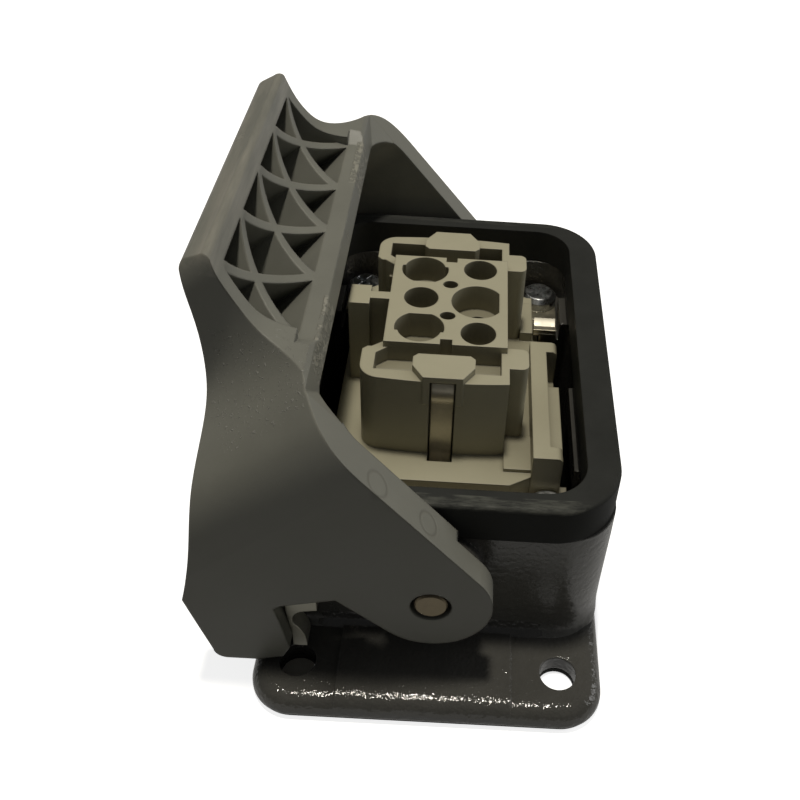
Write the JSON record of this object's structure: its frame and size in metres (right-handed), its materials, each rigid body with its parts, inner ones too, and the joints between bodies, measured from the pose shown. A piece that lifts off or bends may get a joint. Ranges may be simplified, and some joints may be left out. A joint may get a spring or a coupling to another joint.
{
  "type": "heavy duty rectangular connector base",
  "caption": "Bulkhead mounting base of a heavy duty rectangular connector, with rim gasket, female contact insert and a ribbed locking lever swung open on two pivot pins.",
  "frame": {"origin": "centre of the four panel screw holes, on the underside of the flange seal (the panel face)", "axes": "+Z out of the panel towards the mating hood, +Y along the long side of the flange (the front end is -Y), +X across the short side; the lever is parked to -X"},
  "size_m": [0.05, 0.082, 0.0532],
  "materials": {
    "painted_casting": "grey powder paint with a fine orange peel, satin",
    "lever_plastic": "grey glass filled polyamide, fine grained",
    "black_rubber": "black moulded rubber, dull with a rubbed sheen on the rim",
    "cream_plastic": "pebble grey moulded polycarbonate, satin",
    "steel": "turned steel, dulled",
    "stainless_strip": "stainless strip, satin",
    "nickel_plate": "nickel plated, bright",
    "zinc_screw": "zinc plated",
    "silvered_contact": "silver plated copper alloy"
  },
  "bodies": {
    "base": {"housing_base": "painted_casting", "flange_seal": "black_rubber", "rim_gasket": "black_rubber", "pivot_pin_front": "steel", "pivot_pin_back": "steel", "insert_body": "cream_plastic", "insert_carrier": "cream_plastic", "earth_plate_front": "nickel_plate", "earth_plate_back": "nickel_plate", "earth_spring_front": "nickel_plate", "earth_spring_back": "nickel_plate", "earth_screws": "zinc_screw", "fixing_screws": "zinc_screw", "terminal_screws": "zinc_screw", "contact_1": "silvered_contact", "contact_2": "silvered_contact", "contact_3": "silvered_contact", "contact_4": "silvered_contact", "contact_5": "silvered_contact", "contact_6": "silvered_contact"},
    "lever": {"locking_lever": "lever_plastic", "latch_clip_front": "stainless_strip", "latch_clip_back": "stainless_strip"}
  },
  "joints": [
    {"name": "lever_hinge", "type": "hinge", "parent": "base", "child": "lever", "pos_m": [0, 0, 0.016], "axis": [0, 1, 0], "range_deg": [0, 143]}
  ]
}
